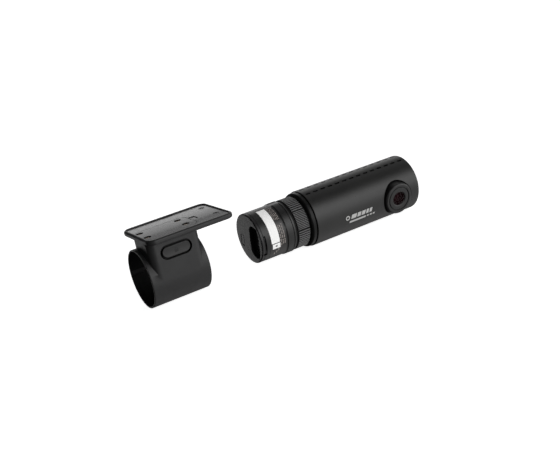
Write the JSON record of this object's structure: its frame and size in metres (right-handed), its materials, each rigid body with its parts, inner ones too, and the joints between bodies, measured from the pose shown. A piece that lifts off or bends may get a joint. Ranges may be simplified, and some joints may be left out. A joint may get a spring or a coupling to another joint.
{
  "type": "dash camera",
  "caption": "Tubular dash camera with a side lens that slides into a round sleeve bracket with an adhesive plate.",
  "frame": {"origin": "middle of the bracket's adhesive face", "axes": "+Z out of the adhesive face toward the glass, +X the way the camera pulls out of the bracket, lens toward -Y"},
  "size_m": [0.1905, 0.0424, 0.0436],
  "materials": {
    "bracket_plastic": "fine matte texture",
    "cover_plastic": "satin",
    "body_paint": "soft matte paint",
    "black_plastic": "satin",
    "deep_black": "moulded black",
    "label_film": "printed film",
    "rubber": "soft",
    "steel": "zinc plated",
    "spring_steel": "drawn wire",
    "alloy": "stamped",
    "brass_pin": "plated",
    "board": "solder mask",
    "chip": "moulded epoxy",
    "pad": "silicone",
    "antenna_ceramic": "ceramic",
    "ribbon": "polyimide",
    "lens_glass": "coated",
    "clear_glass": "polished",
    "card": "moulded"
  },
  "bodies": {
    "bracket": {"bracket_housing": "bracket_plastic", "mechanism_cover": "cover_plastic", "cover_screws": "steel", "button_spring": "spring_steel", "pawl_spring": "spring_steel"},
    "lock_button": {"lock_button": "cover_plastic"},
    "latch_pawl": {"latch_pawl": "steel"},
    "grip": {"grip_ring": "black_plastic"},
    "camera": {"connector_cap": "black_plastic", "label_barrel": "black_plastic", "rating_label": "label_film", "click_spring": "spring_steel", "collar_ring": "body_paint", "body_tube": "body_paint", "far_end_cap": "body_paint", "inner_chassis": "black_plastic", "lens_turret": "body_paint", "lens_bezel": "cover_plastic", "lens_window": "lens_glass", "dust_gasket": "rubber", "lens_barrel": "deep_black", "lens_elements": "clear_glass", "lens_holder": "deep_black", "image_sensor": "chip", "sensor_board": "board", "main_board": "board", "board_screws": "steel", "processor": "chip", "thermal_pad": "pad", "heat_spreader": "alloy", "memory_chips": "chip", "gps_antenna": "antenna_ceramic", "wireless_module": "alloy", "microphone": "alloy", "speaker": "deep_black", "backup_capacitors": "deep_black", "flat_cable": "ribbon", "connector_board": "board", "card_socket": "alloy", "power_jack": "deep_black", "power_pin": "brass_pin", "video_jack": "deep_black", "tact_switch": "alloy"},
    "memory_card": {"memory_card": "card"},
    "function_button": {"function_button": "cover_plastic"}
  },
  "joints": [
    {"name": "camera_slide", "type": "slide", "parent": "bracket", "child": "grip", "axis": [-1, 0, 0], "range_m": [0, 0.0706]},
    {"name": "camera_turn", "type": "hinge", "parent": "grip", "child": "camera", "pos_m": [0.1, 0, -0.025], "axis": [1, 0, 0], "range_deg": [-90, 90]},
    {"name": "lock_press", "type": "slide", "parent": "bracket", "child": "lock_button", "axis": [0, 1, 0], "range_m": [0, 0.0015], "stiffness_N_per_m": 400, "deforming": ["button_spring"]},
    {"name": "pawl_lift", "type": "slide", "parent": "bracket", "child": "latch_pawl", "axis": [0, 0, 1], "range_m": [0, 0.0015], "deforming": ["pawl_spring"]},
    {"name": "card_slide", "type": "slide", "parent": "camera", "child": "memory_card", "axis": [0, 0.9781, 0.2079], "range_m": [-0.0125, 0]},
    {"name": "function_press", "type": "slide", "parent": "camera", "child": "function_button", "axis": [1, 0, 0], "range_m": [0, 0.0005], "stiffness_N_per_m": 300}
  ],
  "couplings": [
    {"joint": "pawl_lift", "follows": "lock_press", "ratio": 1}
  ]
}
